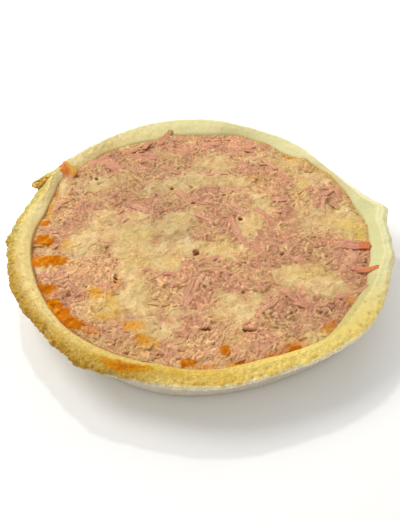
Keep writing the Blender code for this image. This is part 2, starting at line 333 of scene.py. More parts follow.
def set_points(thing, points):
    """Move a mesh's vertices to places given in millimetres."""
    thing.data.vertices.foreach_set("co", (points * MM).ravel())
    thing.data.update()


def get_normals(thing):
    """The vertices' normals."""
    normals = np.empty(len(thing.data.vertices) * 3)
    thing.data.vertex_normals.foreach_get("vector", normals)
    return normals.reshape(-1, 3)


def paint(thing, name, colours, grain_strength):
    """Keep a colour at each vertex as linear light, and how strong the surface's grain is there."""
    layer = thing.data.color_attributes.new(name, "FLOAT_COLOR", "POINT")
    strength = np.broadcast_to(grain_strength, len(colours))
    layer.data.foreach_set("color", np.column_stack([colours, strength]).ravel())


def blend_in(colours, colour, amount):
    """Mix a colour into some, by an amount of 0 to 1 at each vertex."""
    return colours + (linear(colour) - colours) * np.clip(amount, 0.0, 1.0)[:, None]


set_points(case, case_points)
case_normals = get_normals(case)
if case_normals[np.argmax(radius), :2] @ case_points[np.argmax(radius), :2] < 0.0:
    bpy.ops.object.mode_set(mode="EDIT")
    bpy.ops.mesh.select_all(action="SELECT")
    bpy.ops.mesh.flip_normals()
    bpy.ops.object.mode_set(mode="OBJECT")
    case_normals = get_normals(case)

# How baked the pastry is by direction, and how crumbly it is by direction and place on the section.
on_rim = smooth(3.0, 4.0, step_of) * (1.0 - smooth(8.2, 9.2, step_of))
golden_side = 1.0 - stretch(azimuth, *PALE_BACK)
crumbly_side = 0.25 + 0.75 * stretch(azimuth, *CRUMBLY_LEFT)
outer_third = smooth(5.3, 6.6, step_of) * (1.0 - smooth(7.9, 8.7, step_of))
crumbly = outer_third * crumbly_side
coarse = speckle(case_points, 9.0)
medium = speckle(case_points, 3.6, 2.0)
fine = speckle(case_points, 1.9, 5.0)
crumb = np.abs(speckle(case_points, 2.6, 9.0))
grainy = on_rim * (0.4 + 0.6 * golden_side)
relief = 0.25 * coarse * on_rim + (0.08 + 0.16 * grainy) * medium + (0.03 + 0.11 * grainy) * fine
relief += crumbly * (0.24 * medium + 0.42 * crumb + 0.34 * fine - 0.16)
edge = band(step_of, 7.2, 0.9)
relief += edge * crumbly_side * 0.34 * np.round(1.5 * speckle(case_points, 15.0, 14.0) + 0.3 * medium)
for notch_azimuth in NOTCHES:
    past_notch = away(azimuth, notch_azimuth)
    chipped = np.where(past_notch > 0.0, np.exp(-past_notch / NOTCH_LENGTH), smooth(-0.7, 0.0, past_notch))
    relief -= edge * NOTCH_DEPTH * chipped
relief += 0.45 * stretch(azimuth, *SHARP_RIDGE) * band(step_of, 5.0, 0.3)
relief *= smooth(0.0, 1.0, height / 2.0)
case_points += case_normals * relief[:, None]
pit_draw = np.random.default_rng(PIT_SEED)
pitted = np.zeros(len(case_points))
pits = list(PLAIN_PITS)
for _ in range(PIT_COUNT):
    pit_radius = pit_draw.uniform(0.35, 0.75) + 0.7 * pit_draw.uniform() ** 8
    pits.append((pit_draw.uniform(-182.0, -22.0), pit_draw.uniform(3.8, 7.6), pit_radius))
for pit_azimuth, pit_step, pit_radius in pits:
    aside = DEGREE_LONG * np.abs(away(azimuth, pit_azimuth)) + STEP_LONG * np.abs(step_of - pit_step)
    near = np.linalg.norm(case_points - case_points[np.argmin(aside)], axis=1)
    dent = np.exp(-((near / pit_radius) ** 2))
    pitted = np.maximum(pitted, dent)
    case_points -= case_normals * (dent * PIT_DEPTH * pit_radius)[:, None]
case_points = np.clip(case_points, np.array(cad_low) / MM, np.array(cad_high) / MM)
set_points(case, case_points)

# The colours: pale dough, and over it what the baking, the flour and the oil did to it, with painted
# light and shade on slopes turned toward or away from the lamps, and painted shade in pits, crevices
# and the brim corner.
colours = plain(PALE_DOUGH, len(case_points))
inner_pale = stretch(azimuth, *PALE_INSIDE) * (1.0 - smooth(4.3, 6.0, step_of))
golden = golden_side * (1.0 - 0.75 * inner_pale) * (0.92 + 0.08 * coarse)
golden = np.maximum(golden, 0.22 * smooth(5.0, 7.0, step_of + 0.3 * coarse))
lemon_side = stretch(azimuth, *LEMON_FRONT)
colours = blend_in(colours, GOLDEN_CRUST, golden)
colours = blend_in(colours, LEMON_CRUST, 0.85 * golden * lemon_side)
left_inside = stretch(azimuth, *FLOURY_INSIDE) * (1.0 - smooth(4.4, 5.9, step_of + 0.25 * medium))
colours = blend_in(colours, INNER_FLOUR, 0.9 * left_inside)
back_left = stretch(azimuth, *BACK_LEFT)
colours = blend_in(colours, BACK_FLOUR, 0.85 * back_left * (1.0 - smooth(4.6, 5.4, step_of)))
# The outer face of the left lip turns olive, its darkness painted shade.
olive_side = stretch(azimuth, *OLIVE_LEFT)
colours = blend_in(colours, SHADED_OLIVE_LIP, 0.8 * olive_side * smooth(5.1, 5.7, step_of + 0.2 * medium))
# On the right, the inside slope is greenish dough darkened as painted shade, and the crest and outer face
# are pale dough lightened as painted light.
right_side = stretch(azimuth, *RIGHT_SIDE)
colours = blend_in(colours, SHADED_GREENISH_DOUGH, 0.8 * right_side * (1.0 - smooth(4.5, 4.95, step_of)))
colours = blend_in(colours, LIT_PALE_LIP, 0.8 * right_side * smooth(4.8, 5.2, step_of))
colours = blend_in(colours, ROUGH_EDGE, 0.75 * crumbly * smooth(-0.5, 0.5, coarse + 0.6 * medium))
# The crevices between crumbs on the broken edge are darkened olive as painted shade.
colours = blend_in(colours, OLIVE_SCORCH_AND_PIT_SHADE, 0.75 * crumbly * (1.0 - smooth(0.04, 0.3, crumb)))
flour_side = stretch(azimuth, *FLOURY_FRONT, 6)
flour_from = 8.1 - 1.15 * flour_side + 0.22 * medium + 0.12 * coarse + 0.12 * fine
# A light cream line along the lip's lower edge, above the floury side, is a painted highlight.
lip_highlight = band(step_of, flour_from - 0.1, 0.3)
colours = blend_in(colours, LIP_EDGE_HIGHLIGHT, 0.7 * flour_side * lip_highlight)
colours = blend_in(colours, FLOURY_SIDE, smooth(-0.2, 0.25, step_of - flour_from))
# Baked tones, with painted light and shade, on stretches of the rim.
for tone_centre, tone_width, from_step, to_step, gain in RIM_BAKE_AND_LIGHT_TONES:
    tone_gain_here = stretch(azimuth, tone_centre, tone_width)
    tone_gain_here *= smooth(from_step - 0.5, from_step + 0.3, step_of)
    tone_gain_here *= 1.0 - smooth(to_step - 0.3, to_step + 0.5, step_of)
    colours *= 1.0 + (np.array(gain) ** 2.2 - 1.0) * tone_gain_here[:, None]
from_scorch = away(azimuth, SCORCH[0])
scorch_middle = 5.2 - 0.03 * from_scorch - 0.012 * from_scorch ** 2
scorch = stretch(azimuth, *SCORCH, 2) * band(step_of, scorch_middle, 0.78)
colours = blend_in(colours, OLIVE_SCORCH_AND_PIT_SHADE, 0.5 * smooth(0.05, 0.3, scorch + 0.1 * medium))
colours = blend_in(colours, BROWNED_CRUST, smooth(0.2, 0.5, scorch + 0.16 * medium + 0.12 * fine))
colours = blend_in(colours, SCORCHED_CRUST, 0.75 * smooth(0.45, 0.95, scorch + 0.4 * fine + 0.25 * medium))
torn = stretch(azimuth, *TEAR, 2) * band(step_of, 3.6, 0.6)
colours = blend_in(colours, TEAR_STAIN, 0.8 * smooth(0.25, 0.9, torn + 0.2 * medium))
back_stain = swell(azimuth, BACK_STAINS) * band(step_of, 3.2, 0.5)
colours = blend_in(colours, OILY_STAIN, smooth(0.25, 0.9, back_stain + 0.2 * medium))
# The pits are darkened olive as painted shade in them.
colours = blend_in(colours, OLIVE_SCORCH_AND_PIT_SHADE, 0.42 * pitted * on_rim)
# A dark line at the brim where the filling meets the wall: partly toasting, and partly painted shade in that
# corner, strongest on the left.
brim_line = band(step_of, 3.04, 0.13 + 0.05 * left_inside)
brim_toast_and_shade = 0.22 + 0.78 * stretch(azimuth, *TOASTED_SHADED_BRIM)
colours = blend_in(colours, BRIM_TOAST_AND_SHADE, 0.9 * brim_line * brim_toast_and_shade)
smooth_inside = stretch(azimuth, *SMOOTH_LEFT) + stretch(azimuth, *SMOOTH_RIGHT)
plain_front = stretch(azimuth, *PLAIN_FRONT)
calm = np.clip(smooth_inside * (1.0 - smooth(4.6, 5.3, step_of)) + plain_front, 0.0, 1.0)
toasted = smooth(0.15, 0.9, 0.5 * coarse + 0.5 * medium) * golden_side * on_rim * (1.0 - calm)
colours = blend_in(colours, TOASTED_CRUST, 0.35 * toasted)
rim_grain = (0.16 * fine + 0.04 * medium) * grainy * (1.0 - 0.6 * calm)
rim_grain *= 1.0 - 0.6 * stretch(azimuth, *EVEN_RIGHT)
colours *= (1.0 + rim_grain)[:, None]
baked_grain = 0.22 + 0.78 * np.clip(golden_side + 0.3 * outer_third, 0.0, 1.0)
baked_grain *= 1.0 - 0.55 * calm
paint(case, "pastry_colour", colours, baked_grain)
bpy.ops.object.mode_set(mode="EDIT")
bpy.ops.mesh.select_all(action="SELECT")
bpy.ops.mesh.remove_doubles(threshold=WELD)
bpy.ops.object.mode_set(mode="OBJECT")
case.data.shade_smooth()


def food_finish(name, attribute, roughness, grain, bump_depth, tint_swing, soft_light, gloss):
    """Moist or crumbly food: painted colour, mottled by fine noise, with a grain in the relief."""
    finish = bpy.data.materials.new(name)
    finish.use_nodes = True
    tree = finish.node_tree
    shader = tree.nodes["Principled BSDF"]
    place = tree.nodes.new("ShaderNodeTexCoord")
    painted = tree.nodes.new("ShaderNodeAttribute")
    painted.attribute_name = attribute
    mottle = tree.nodes.new("ShaderNodeTexNoise")
    mottle.inputs["Scale"].default_value = grain
    mottle.inputs["Detail"].default_value = 5.0
    mottle.inputs["Roughness"].default_value = 0.65
    tree.links.new(place.outputs["Object"], mottle.inputs["Vector"])
    centred = tree.nodes.new("ShaderNodeMath")
    centred.operation = "SUBTRACT"
    centred.inputs[1].default_value = 0.5
    tree.links.new(mottle.outputs["Fac"], centred.inputs[0])
    felt = tree.nodes.new("ShaderNodeMath")
    felt.operation = "MULTIPLY"
    tree.links.new(centred.outputs["Value"], felt.inputs[0])
    tree.links.new(painted.outputs["Alpha"], felt.inputs[1])
    level = tree.nodes.new("ShaderNodeMapRange")
    level.inputs["From Min"].default_value = -0.2
    level.inputs["From Max"].default_value = 0.2
    level.inputs["To Min"].default_value = 1.0 - tint_swing
    level.inputs["To Max"].default_value = 1.0 + tint_swing
    tree.links.new(felt.outputs["Value"], level.inputs["Value"])
    tinted = tree.nodes.new("ShaderNodeVectorMath")
    tinted.operation = "SCALE"
    tree.links.new(painted.outputs["Color"], tinted.inputs[0])
    tree.links.new(level.outputs["Result"], tinted.inputs["Scale"])
    tree.links.new(tinted.outputs["Vector"], shader.inputs["Base Color"])
    sheen = tree.nodes.new("ShaderNodeMapRange")
    sheen.inputs["From Min"].default_value = 0.35
    sheen.inputs["From Max"].default_value = 0.65
    sheen.inputs["To Min"].default_value = roughness - 0.12
    sheen.inputs["To Max"].default_value = roughness + 0.12
    tree.links.new(mottle.outputs["Fac"], sheen.inputs["Value"])
    tree.links.new(sheen.outputs["Result"], shader.inputs["Roughness"])
    dents = tree.nodes.new("ShaderNodeBump")
    dents.inputs["Strength"].default_value = 1.0
    dents.inputs["Distance"].default_value = bump_depth
    tree.links.new(felt.outputs["Value"], dents.inputs["Height"])
    tree.links.new(dents.outputs["Normal"], shader.inputs["Normal"])
    shader.inputs["Specular IOR Level"].default_value = gloss
    shader.inputs["Subsurface Weight"].default_value = soft_light
    shader.inputs["Subsurface Radius"].default_value = (1.0, 0.5, 0.25)
    shader.inputs["Subsurface Scale"].default_value = 1.0 * MM
    return finish


case.data.materials.append(food_finish(
    "baked_shortcrust", "pastry_colour", roughness=0.80, grain=1000.0, bump_depth=0.38 * MM,
    tint_swing=0.33, soft_light=0.05, gloss=0.12,
))
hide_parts("crust")
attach(case, "root")

# The filling: egg custard set in the case, under a crust of shredded ham and grated cheese that
# melted into it. The body runs down to the floor of the case, and its edge reaches into the wall.
CELLS = 310
EDGE_REACH = 1.3
DOME = 1.4
LUMP_SIZE = 17.0
LUMP_HEIGHT = 1.0
CURD_SIZE = 8.0
CURD_HEIGHT = 0.5
CUSTARD = (202, 170, 108)
MELTED_CHEESE = (213, 182, 125)
PALE_CURD = (221, 195, 140)
TAN_CURD = (194, 150, 98)
HAM_MASS = (187, 131, 96)
TOASTED_CHEESE = (197, 150, 97)
HAM_TONES = ((196, 138, 106), (186, 128, 100), (206, 150, 118), (192, 132, 100))
CHEESE_TONES = ((212, 165, 115), (202, 151, 103), (224, 186, 136), (206, 154, 110))
HOLLOW_SHADE_BROWN = (146, 92, 50)
HOLE_SHADE_BROWN = (124, 62, 20)
BAKED_ORANGE = (196, 110, 0)
BAKED_GOLD = (222, 146, 0)
SCORCHED_RED = (164, 70, 0)
GOLD_BLUSH = (214, 156, 44)
DEEP_GOLD = (214, 146, 12)
PEACH_OIL = (206, 124, 38)
CREAM_MOTTLE = (224, 186, 128)
PINK_MOTTLE = (196, 134, 100)
CRACK_SHADE_BROWN = (132, 78, 40)
EDGE_OIL = (198, 156, 84)
EDGE_SHADOW_BROWN = (150, 92, 22)
LEMON_OIL = (214, 186, 92)
RIM_OIL = (214, 180, 74)
# Where custard or cheese lies bare, and where the ham is thick and pink: middle and reach both ways.
BARE_PATCHES = (
    (-51, 4, 24, 9), (-2, 56, 22, 8), (12, 79, 14, 6), (70, 48, 10, 18), (97, 9, 10, 13),
    (15, -66, 18, 9), (58, -35, 14, 10), (-31, -86, 11, 7), (-64, -57, 12, 8), (-69, 24, 12, 9),
    (-20, -10, 20, 12), (14, -52, 10, 8), (30, 7, 7, 11), (83, -40, 11, 8), (-76, 56, 10, 6),
    (62, -38, 16, 8), (-50, -12, 14, 9), (-18, -28, 12, 8),
)
PINK_PATCHES = (
    (-59, 78, 14, 10), (0, 97, 40, 8), (-35, 35, 30, 9), (28, -38, 15, 18), (47, -8, 14, 13),
    (-5, -56, 10, 20), (88, 43, 13, 10), (-20, -98, 16, 8), (-7, -80, 9, 8), (33, -80, 9, 8),
    (-84, -45, 13, 17), (-40, -92, 30, 13), (88, -23, 22, 14), (103, -35, 11, 12),
    (64, -64, 20, 15), (44, 62, 16, 12), (-88, 12, 10, 18), (8, 22, 14, 12),
    (36, -92, 24, 9), (62, 10, 9, 18), (-97, -36, 10, 8), (102, -15, 10, 9),
)
# Browned and oily spots: middle, reach along and across, and turn in degrees.
BAKED_SPOTS = (
    (-99, -22, 11.5, 5.2, 0), (-105, -2, 6.5, 4.5, 0), (-99, -47, 6.0, 4.0, 0), (-94, -60, 6.5, 5.0, -25),
    (-87, -68, 5.0, 6.0, 35), (-79, -77, 7.0, 3.8, -28), (-8, -108, 5.0, 3.0, 0), (15, -99, 3.2, 4.5, 0),
    (-106, 14, 3.0, 3.0, 0), (57, -97, 4.5, 2.5, 25),
)
DEEP_GOLD_SPOTS = (
    (-42, -79, 6.5, 4.0, 0), (-36, -89, 3.8, 4.2, 0), (-67, -50, 3.0, 3.5, 0), (20, -109, 5.0, 1.6, 5),
)
GOLD_SPOTS = (
    (-67, -51, 5.5, 5, 0), (-57, -58, 4, 7, 10), (-58, -70, 8, 3, 15), (-90, -6, 3.5, 5, 0),
    (-31, -92, 6, 4, 0), (66, 84, 6, 3, -35), (78, -81, 5, 3, 40), (-104, 28, 3, 7, 0), (-54, -44, 2, 4, 0),
)
PEACH_SPOTS = (
    (57, -95, 8.5, 4.5, 25), (44, -103, 7, 3, 15), (-70, -81, 7, 3.5, -25), (3, -110, 5, 1.8, 0),
    (94, -58, 4, 2.5, 50), (-95, -48, 4, 4, 0), (80, -78, 5, 2.5, 42),
    (27, -107, 7, 2, 8), (-102, 46, 2.5, 5, 20),
)
RIM_OIL_SPOTS = ((107, 5, 3.4, 9, 0), (100, 12, 5, 6, 0))
LEMON_SPOTS = RIM_OIL_SPOTS + (
    (90, 16, 8, 4, 0), (70, 52, 5, 12, 0), (-60, -63, 10, 8, 0),
    (40, 60, 8, 5, 0), (-42, 2, 10, 6, 0), (-24, -24, 9, 6, 0), (12, -9, 9, 6, 0), (-40, -22, 8, 5, 0),
    (72, -30, 12, 7, 0), (-86, -8, 4, 5, 0), (-42, -97, 12, 7, -15), (20, -90, 8, 5, 0),
)
# Small holes: middle and reach both ways.
HOLES = (
    (-3, -14, 2.4, 2.6), (-5, 34, 1.3, 1.2), (16, 42, 1.1, 1.0), (23, 21, 1.2, 1.3), (27, 19, 1.4, 1.8),
    (27, -51, 1.2, 1.2), (54, -16, 1.4, 1.4), (-20, 50, 1.2, 1.2), (-74, 61, 1.4, 1.2), (3, -82, 3.2, 1.1),
    (30, -82, 4.0, 1.1), (-55, -39, 1.2, 4.0),
)
# Painted shade darkens the back and the middle of the top, and painted light brightens the front
# margin and the left front: middle, reach both ways, and the gain seen.
TOP_PAINTED_LIGHT_AND_SHADE = (
    (-30, 55, 55, 40, 0.94), (-20, 8, 35, 15, 0.94), (15, -92, 45, 16, 1.06), (-75, -40, 28, 22, 1.05),
)
# Stretches of the filling's edge: on the left the painted shadow along the wall is widest and
# darkest, on the right the edge has an oily stain: middle and half width, in degrees.
SHADOWED_LEFT = (-168.0, 48.0)
STAINED_RIGHT = (34.0, 30.0)
HOLE_DEPTH = 2.0
CRACK_DEPTH = 0.6
# How far the shreds' pattern drifts, how many cells wide a hollow is felt for the painted shade in
# it, and how far the top stays under the ridge and the body over the case's floor.
DRIFT = 2.6
HOLLOW_SPREAD = 6
UNDER_RIDGE = 1.2
ABOVE_FLOOR = 0.3
SHRED_SEED = 23
HAM_SHREDS = 520
CHEESE_SHREDS = 1500
SHRED_STATIONS = 7
STREWN_REACH = BRIM_RADIUS - 3.0

bpy.ops.object.select_all(action="DESELECT")
bpy.ops.mesh.primitive_grid_add(x_subdivisions=CELLS, y_subdivisions=CELLS, size=2.0)
filling = bpy.context.object
filling.name = "baked_filling"
square = np.empty(len(filling.data.vertices) * 3)
filling.data.vertices.foreach_get("co", square)
square = square.reshape(-1, 3)[:, :2]
column = np.rint((square[:, 0] + 1.0) * CELLS / 2.0).astype(int)
line = np.rint((square[:, 1] + 1.0) * CELLS / 2.0).astype(int)
vertex_at = np.empty((CELLS + 1, CELLS + 1), int)
vertex_at[line, column] = np.arange(len(square))
disc = square * np.sqrt(1.0 - square[:, ::-1] ** 2 / 2.0)
disc_turn = np.degrees(np.arctan2(disc[:, 1], disc[:, 0]))
brim_here = BRIM_RADIUS + swell(disc_turn, BRIM_SWELLS)
from_centre = np.hypot(disc[:, 0], disc[:, 1])
top = disc * (brim_here + EDGE_REACH)[:, None]
inward = (1.0 - from_centre) * brim_here
flat_top = np.column_stack([top, np.zeros(len(top))])


def surface(points):
    """Height of the custard's top: a low dome with lumps and curds."""
    distance = np.hypot(points[:, 0], points[:, 1]) / BRIM_RADIUS
    crown = DOME * np.maximum(0.0, 1.0 - distance ** 2)
    lumps = [noise.noise(Vector((x, y, 0.0)) / LUMP_SIZE) for x, y in points[:, :2]]
    curds = [noise.noise(Vector((x, y, LUMP_SIZE)) / CURD_SIZE) for x, y in points[:, :2]]
    return BRIM_HEIGHT + crown + 2.0 * LUMP_HEIGHT * np.array(lumps) + 2.0 * CURD_HEIGHT * np.array(curds)


def bent_line(x, y, heading, length, bend, stations):
    """Middle line of a shred, a stretch of a circle's arc."""
    along = np.linspace(-0.5, 0.5, stations)
    course = np.radians(heading + bend * along * 0.5)
    return np.column_stack([x + length * along * np.cos(course), y + length * along * np.sin(course)])


def strewn_place(draw, reach):
    """A place drawn evenly from the round top, as far out as reach."""
    turn = draw.uniform(0.0, 2.0 * math.pi)
    out = math.sqrt(draw.uniform()) * reach
    return out * math.cos(turn), out * math.sin(turn)


def turned(points, heading, x=0.0, y=0.0):
    """Places along and across a heading, measured from a point."""
    c, s = math.cos(math.radians(heading)), math.sin(math.radians(heading))
    dx, dy = points[:, 0] - x, points[:, 1] - y
    return dx * c + dy * s, dy * c - dx * s


def patch_reach(points, x, y, long, wide):
    """Distance of points from the middle of an oval patch, 1 at its edge."""
    return np.hypot((points[:, 0] - x) / long, (points[:, 1] - y) / wide)


def to_line(points, route):
    """Distance of points from a route, and how far along it the nearest place is."""
    best = np.full(len(points), 1e9)
    place = np.zeros(len(points))
    for i in range(len(route) - 1):
        start, step = route[i], route[i + 1] - route[i]
        t = np.clip(((points - start) @ step) / (step @ step), 0.0, 1.0)
        gap = np.linalg.norm(points - start - t[:, None] * step, axis=1)
        closer = gap < best
        best[closer] = gap[closer]
        place[closer] = (i + t)[closer]
    return best, place


# The shreds soaked and sagged as they baked: the top is rounded lumps and strands with thin creases
# between, smoother where custard or melted cheese lies over them.
drift = np.column_stack([speckle(flat_top, 7.0, 31.0), speckle(flat_top, 7.0, 37.0), np.zeros(len(top))])
drifted = flat_top + DRIFT * drift
zone = speckle(drifted, 27.0, 8.0) + 0.55 * speckle(drifted, 10.0, 12.0)
for patch in BARE_PATCHES:
    zone -= 1.3 * np.exp(-(patch_reach(drifted, *patch) ** 2))
pink_zone = speckle(drifted, 15.0, 61.0)
for patch in PINK_PATCHES:
    pink = np.exp(-(patch_reach(drifted, *patch) ** 2))
    zone += pink
    pink_zone += 0.9 * pink
ham_rich = smooth(-0.75, 0.2, zone)
pinker = smooth(-0.35, 0.75, pink_zone)
small_mottle = speckle(drifted, 3.4, 45.0)
curdled = speckle(drifted, 5.5, 91.0)
top_height = surface(top) + 0.35 * (1.0 - ham_rich) * curdled
top_colour = plain(CUSTARD, len(top))
top_colour = blend_in(top_colour, MELTED_CHEESE, smooth(-0.3, 0.7, speckle(drifted, 11.0, 8.0)))
top_colour = blend_in(top_colour, PALE_CURD, 0.55 * smooth(0.1, 0.7, curdled))
top_colour = blend_in(top_colour, TAN_CURD, 0.55 * smooth(0.1, 0.7, -curdled))
top_colour = blend_in(top_colour, TOASTED_CHEESE, 0.8 * ham_rich * (1.0 - pinker))
top_colour = blend_in(top_colour, HAM_MASS, 0.95 * ham_rich * pinker)


def lay_shred(route, half_width, crown, colour, coat):
    """Raise the filling's top over a shred that lies in it, and colour what shows."""
    low, high = route.min(axis=0) - half_width - 1.5, route.max(axis=0) + half_width + 1.5
    near = np.flatnonzero(((top > low) & (top < high)).all(axis=1))
    if len(near) < 8:
        return
    gap, place = to_line(top[near], route)
    stations = np.array([top_height[near[np.argmin(((top[near] - p) ** 2).sum(axis=1))]] for p in route])
    soften(stations)
    bed = np.interp(place, np.arange(len(route)), stations)
    shape = np.clip(1.0 - (gap / half_width) ** 2, 0.0, 1.0)
    raised = bed + crown * (shape - 0.25)
    shows = (gap < half_width) & (raised > top_height[near])
    top_height[near[shows]] = raised[shows]
    showing = (1.0 - coat) * smooth(1.0, 0.6, gap[shows] / half_width)
    top_colour[near[shows]] += showing[:, None] * (linear(colour) - top_colour[near[shows]])


def find_tree(points):
    """A search tree that finds the nearest of some points seen from above."""
    tree = kdtree.KDTree(len(points))
    for number, (x, y) in enumerate(points):
        tree.insert((x, y, 0.0), number)
    tree.balance()
    return tree


def nearest(tree, x, y):
    """Number of the tree's point that is nearest to a place."""
    return tree.find((x, y, 0.0))[1]


top_tree = find_tree(top)
draw = np.random.default_rng(SHRED_SEED)
kinds = np.array(["ham"] * HAM_SHREDS + ["cheese"] * CHEESE_SHREDS)
draw.shuffle(kinds)
for kind in kinds:
    x, y = strewn_place(draw, STREWN_REACH)
    here = nearest(top_tree, x, y)
    heading, bend = draw.uniform(0.0, 180.0), draw.normal(0.0, 45.0)
    shade = draw.uniform(0.94, 1.05)
    if kind == "ham":
        length, half_width, crown = draw.uniform(5.0, 17.0), draw.uniform(1.0, 2.0), draw.uniform(0.4, 0.9)
        tone, coat = HAM_TONES[draw.integers(len(HAM_TONES))], draw.uniform(0.35, 0.9)
        wanted = ham_rich[here] * (0.25 + 0.75 * pinker[here])
    else:
        length, half_width, crown = draw.uniform(2.0, 8.0), draw.uniform(0.7, 1.3), draw.uniform(0.4, 0.9)
        tone, coat = CHEESE_TONES[draw.integers(len(CHEESE_TONES))], draw.uniform(0.45, 0.95)
        bend *= 1.5
        wanted = 0.12 + 0.88 * ham_rich[here]
    if draw.uniform() > wanted:
        continue
    tone = tuple(c * shade for c in tone)
    lay_shred(bent_line(x, y, heading, length, bend, SHRED_STATIONS), half_width, crown, tone, coat)


def shred_grains(points, long, wide, heading, seed):
    """Short shreds packed side by side: how domed each place is, and how light its own shred is."""
    along, across = turned(points, heading)
    domed, light = np.empty(len(points)), np.empty(len(points))
    for number, place in enumerate(zip(along / long, across / wide)):
        gaps, middles = noise.voronoi(Vector((*place, seed)))
        domed[number] = gaps[1] - gaps[0]
        light[number] = noise.noise(middles[0] * 3.1)
    return np.minimum(2.2 * domed, 1.0) ** 0.7, 1.6 * light


lumps = np.minimum(1.7 * np.abs(speckle(drifted, 3.4, 71.0)), 1.0) ** 0.7
flat_domes, flat_light = shred_grains(drifted, 5.2, 2.5, -12.0, 0.4)
steep_domes, steep_light = shred_grains(drifted, 4.2, 2.4, 62.0, 3.4)
steep = smooth(-0.06, 0.06, speckle(flat_top, 13.0, 77.0))
domes = flat_domes + (steep_domes - flat_domes) * steep
shred_light = flat_light + (steep_light - flat_light) * steep
rough = 0.34 + 0.66 * ham_rich
top_height += rough * (0.50 * (lumps - 0.6) + 0.52 * (domes - 0.6))
# The colour follows the relief: lighter on the crowns of lumps and grains and darker in the creases between,
# as painted light and shade; each shred's own lightness also differs at random.
top_colour *= (1.0 + rough * (0.24 * (lumps - 0.6) + 0.28 * (domes - 0.6) + 0.16 * shred_light))[:, None]
top_colour = blend_in(top_colour, PINK_MOTTLE, 0.30 * rough * smooth(0.1, 0.9, small_mottle))
top_colour = blend_in(top_colour, CREAM_MOTTLE, 0.35 * smooth(0.2, 0.9, -small_mottle))
shade_patches = speckle(drifted, 20.0, 53.0) + 0.6 * speckle(drifted, 8.0, 57.0)
top_colour *= (1.0 + 0.05 * np.clip(shade_patches, -1.0, 1.0))[:, None]
# Painted light and shade over broad stretches of the top.
for *patch, gain in TOP_PAINTED_LIGHT_AND_SHADE:
    tone_gain_here = np.exp(-(patch_reach(drifted, *patch) ** 4))
    top_colour *= (1.0 + (gain ** 2.2 - 1.0) * tone_gain_here)[:, None]
# Wavy cracks sink into the top and are darkened brown as painted shade in them.
crack = np.abs(speckle(drifted, 13.0, 83.0))
cracked = (1.0 - smooth(0.01, 0.06, crack)) * smooth(0.12, 0.4, speckle(flat_top, 16.0, 89.0))
top_height -= CRACK_DEPTH * cracked
top_colour = blend_in(top_colour, CRACK_SHADE_BROWN, 0.75 * cracked)
grain_coarse = speckle(flat_top, 3.2, 21.0)
grain_fine = speckle(flat_top, 1.6, 25.0)
top_height += 0.16 * grain_coarse + 0.14 * grain_fine
# Small grains raised a little on the top and lightened as painted glints, where the wet top would catch the
# light.
glint_grains = rough * smooth(0.62, 0.95, speckle(flat_top, 1.25, 97.0))
top_height += 0.3 * glint_grains
top_colour *= (1.0 + 0.40 * glint_grains)[:, None]
pierced = np.zeros(len(top))
# The small holes sink into the top and are painted dark brown as painted shade inside them.
for hole in HOLES:
    sunk = np.exp(-((patch_reach(top, *hole) + 0.28 * grain_coarse) ** 8))
    pierced = np.maximum(pierced, sunk)
    top_height -= HOLE_DEPTH * sunk
    top_colour = blend_in(top_colour, HOLE_SHADE_BROWN, 0.95 * sunk)
# Painted shade in the hollows of the top: each place is held against the mean of its neighbours, hollows are
# darkened and browned, and crowns lightened as painted light.
sheet_height = top_height[vertex_at]
spread = sheet_height.copy()
for _ in range(HOLLOW_SPREAD):
    padded = np.pad(spread, 1, mode="edge")
    spread = (
        padded[:-2, 1:-1] + padded[2:, 1:-1] + padded[1:-1, :-2] + padded[1:-1, 2:] + padded[1:-1, 1:-1]
    ) / 5.0
hollow = np.empty(len(top))
hollow[vertex_at.ravel()] = (spread - sheet_height).ravel()
hollow_shade = smooth(0.16, 0.8, hollow)
top_colour *= (1.0 - 0.38 * hollow_shade)[:, None]
top_colour = blend_in(top_colour, HOLLOW_SHADE_BROWN, 0.22 * hollow_shade)
top_colour *= (1.0 + 0.45 * np.clip(-hollow, 0.0, 0.6))[:, None]


def baked_patch(spots, sharpness):
    """How browned the top is near the given spots, 0 to 1."""
    browned = np.zeros(len(top))
    for spot_x, spot_y, spot_long, spot_wide, spot_turn in spots:
        along, across = turned(top, spot_turn, spot_x, spot_y)
        reach = (np.abs(along / spot_long) ** 3 + np.abs(across / spot_wide) ** 3) ** (1 / 3)
        ragged = reach + 0.26 * grain_coarse + 0.14 * grain_fine
        browned = np.maximum(browned, 1.0 - smooth(1.0 - sharpness, 1.0 + sharpness, ragged))
    return browned


left_side = stretch(disc_turn, *SHADOWED_LEFT)
from_wall = inward - EDGE_REACH + 0.3 * grain_coarse
right_stain = stretch(disc_turn, *STAINED_RIGHT)
top_colour = blend_in(top_colour, EDGE_OIL, 0.6 * right_stain * (1.0 - smooth(1.0, 5.0, from_wall)))
# A painted shadow along the wall at the filling's edge, widest and darkest on the left.
rim_shadow = 1.0 - smooth(0.1 + 0.4 * left_side, 0.9 + 0.8 * left_side, from_wall)
top_colour = blend_in(top_colour, EDGE_SHADOW_BROWN, (0.2 + 0.7 * left_side) * rim_shadow)
top_colour = blend_in(top_colour, GOLD_BLUSH, 0.7 * baked_patch(GOLD_SPOTS, 0.6))
top_colour = blend_in(top_colour, LEMON_OIL, 0.32 * baked_patch(LEMON_SPOTS, 0.9))
top_colour = blend_in(top_colour, RIM_OIL, 0.5 * baked_patch(RIM_OIL_SPOTS, 0.8))
top_colour = blend_in(top_colour, PEACH_OIL, 0.7 * baked_patch(PEACH_SPOTS, 0.5))
top_colour = blend_in(top_colour, DEEP_GOLD, 0.9 * baked_patch(DEEP_GOLD_SPOTS, 0.35))
orange = baked_patch(BAKED_SPOTS, 0.18)
top_colour = blend_in(top_colour, BAKED_ORANGE, 0.98 * orange)
